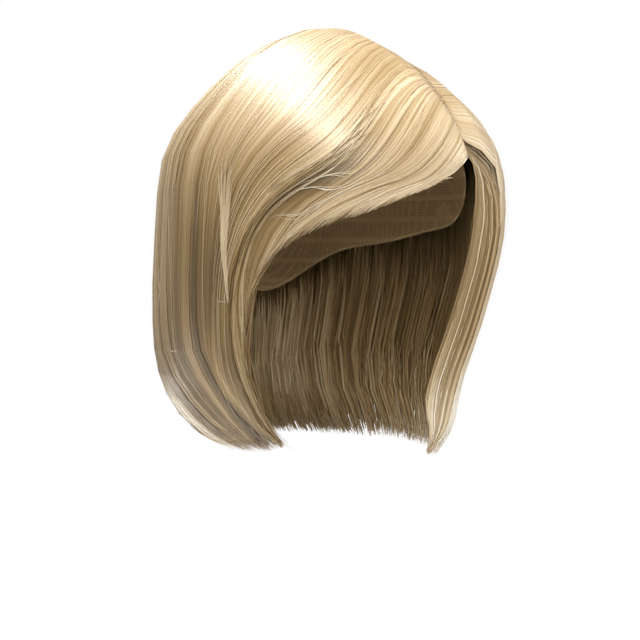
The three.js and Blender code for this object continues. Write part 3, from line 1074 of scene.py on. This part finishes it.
def makeCapMaterial():
    # a fine net with sewn rows round it
    material, tree, shader = newMaterial("stretchNet")
    place = tree.nodes.new("ShaderNodeTexCoord").outputs["Object"]
    height = addNode(tree, "SeparateXYZ", {"Vector": place}).outputs["Z"]
    net = tree.nodes.new("ShaderNodeTexVoronoi")
    net.feature = "DISTANCE_TO_EDGE"
    setInputs(tree, net, {
        "Scale": 1 / capFinish["mesh"], "Randomness": capFinish["unevenness"], "Vector": place,
    })
    openNet = addRange(tree, net.outputs["Distance"], capFinish["threadEdge"])
    gaps = addMath(tree, "MULTIPLY", openNet, capFinish["gapDarkness"])
    turns = addMath(tree, "MULTIPLY", height, 2 * math.pi / capFinish["rowPitch"])
    rows = addRange(tree, addMath(tree, "SINE", turns, 0), capFinish["rowEdge"])
    dark = addMath(tree, "MULTIPLY", gaps, addMath(tree, "SUBTRACT", 1, rows))
    bump = addNode(tree, "Bump", {
        "Strength": capFinish["bump"], "Distance": capFinish["bumpDistance"], "Height": dark,
    })
    bump.invert = True
    setInputs(tree, shader, {
        "Base Color": addBlend(tree, dark, colour(capFinish["colour"]), colour(capFinish["darkColour"])),
        "Normal": bump.outputs["Normal"],
        "Roughness": capFinish["roughness"],
    })
    return material


def selectOnly(piece):
    bpy.ops.object.select_all(action="DESELECT")
    piece.select_set(True)
    bpy.context.view_layer.objects.active = piece


def makeCap():
    # the cap's own faces, joined into quads and smoothed
    piece = addObject("stretch_cap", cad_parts["cap"].data.copy())
    selectOnly(piece)
    bpy.ops.object.mode_set(mode="EDIT")
    bpy.ops.mesh.select_all(action="SELECT")
    bpy.ops.mesh.remove_doubles(threshold=capFinish["weld"])
    bpy.ops.mesh.tris_convert_to_quads()
    bpy.ops.object.mode_set(mode="OBJECT")
    rounding = piece.modifiers.new("rounding", "SUBSURF")
    rounding.levels = 1
    rounding.render_levels = 1
    bpy.ops.object.modifier_apply(modifier=rounding.name)
    bpy.ops.object.shade_smooth()
    piece.data.materials.clear()
    piece.data.materials.append(makeCapMaterial())
    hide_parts("cap")
    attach(piece, "root")
    print("cap made:", triangleCount(piece), "triangles")


makeCap()


# Studio

studio = {
    "floorHeight": -0.42,
    "floorRadius": 0.55,
    "floorSides": 96,
    "floorColour": "f4f3f0",
    "floorRoughness": 0.9,
    "ambient": 0.42,  # strength of the white surroundings on the wig
}


def makeStudio():
    bpy.ops.object.select_all(action="DESELECT")
    bpy.ops.mesh.primitive_circle_add(
        vertices=studio["floorSides"], radius=studio["floorRadius"], fill_type="NGON",
        location=(0, 0, studio["floorHeight"]))
    floor = bpy.context.object
    floor.name = "floor"
    bpy.ops.object.transform_apply(location=True, rotation=True, scale=True)
    material, tree, shader = newMaterial("paleFloor")
    setInputs(tree, shader, {
        "Base Color": colour(studio["floorColour"]), "Roughness": studio["floorRoughness"],
    })
    floor.data.materials.append(material)
    world = bpy.data.worlds.new("whiteStudio")
    bpy.context.scene.world = world
    world.use_nodes = True
    tree = world.node_tree
    seen = tree.nodes.new("ShaderNodeLightPath").outputs["Is Camera Ray"]
    strength = addRange(tree, seen, (0, 1), (studio["ambient"], 1))  # the backdrop is seen at full white
    setInputs(tree, tree.nodes["Background"], {"Color": (1, 1, 1, 1), "Strength": strength})


makeStudio()

photoView = {
    "azimuth": -26,
    "elevation": 1,
    "distance": 1.5,
    "aimHeight": -0.152,
    "aimShift": -0.0035,  # along the camera's right
    "viewWidth": 0.3648,  # width of the view at the aim point
    "sensor": 36,
}

azimuth = math.radians(photoView["azimuth"])
elevation = math.radians(photoView["elevation"])
towardsCamera = np.array([
    math.sin(azimuth) * math.cos(elevation),
    -math.cos(azimuth) * math.cos(elevation),
    math.sin(elevation),
])
cameraRight = unit(np.cross([0, 0, 1], towardsCamera))
cameraUp = np.cross(towardsCamera, cameraRight)
aimPoint = np.array([0, 0, photoView["aimHeight"]]) + cameraRight * photoView["aimShift"]


def turnTo(piece, place, backward, sideways, upward):
    # an object at a place, looking against its backward axis
    turn = np.eye(4)
    turn[:3, 0] = sideways
    turn[:3, 1] = upward
    turn[:3, 2] = backward
    turn[:3, 3] = place
    piece.matrix_world = Matrix(turn.tolist())


def addCamera():
    data = bpy.data.cameras.new("photoCamera")
    data.sensor_width = photoView["sensor"]
    data.lens = photoView["sensor"] * photoView["distance"] / photoView["viewWidth"]
    camera = addObject("photoCamera", data)
    turnTo(camera, aimPoint + towardsCamera * photoView["distance"], towardsCamera, cameraRight, cameraUp)
    bpy.context.scene.camera = camera


addCamera()

# Places are to the camera's right, up and towards the camera from the wig's middle, in metres.
lights = {
    "topSoftbox": {"place": (-0.2, 0.95, 0.08), "size": (2.2, 0.28), "power": 36},
    "frontSoftbox": {"place": (0.15, 0.75, 1.3), "size": (1.2, 0.8), "power": 8},
    "fillSoftbox": {"place": (1.2, 0.1, 0.9), "size": (0.8, 0.8), "power": 7},
    "lowLeftRim": {"place": (-0.9, -0.5, -0.3), "size": (0.3, 0.7), "power": 3},
    "farRim": {"place": (1.1, 0.15, -0.2), "size": (0.3, 0.8), "power": 8},
    "lowBackRim": {"place": (-0.55, -0.4, -0.75), "size": (0.5, 0.3), "power": 1.6},
}


def addLights():
    middle = np.array([0, 0, -0.11])
    for name, look in lights.items():
        data = bpy.data.lights.new(name, "AREA")
        data.shape = "RECTANGLE"
        data.size = look["size"][0]
        data.size_y = look["size"][1]
        data.energy = look["power"]
        light = addObject(name, data)
        right, up, near = look["place"]
        away = cameraRight * right + cameraUp * up + towardsCamera * near
        backward = unit(away)
        sideways = unit(np.cross([0, 0, 1], backward) + cameraRight * tiny)
        turnTo(light, middle + away, backward, sideways, np.cross(backward, sideways))


addLights()
bpy.context.scene.view_settings.view_transform = "Standard"
print("studio, camera and lights set")
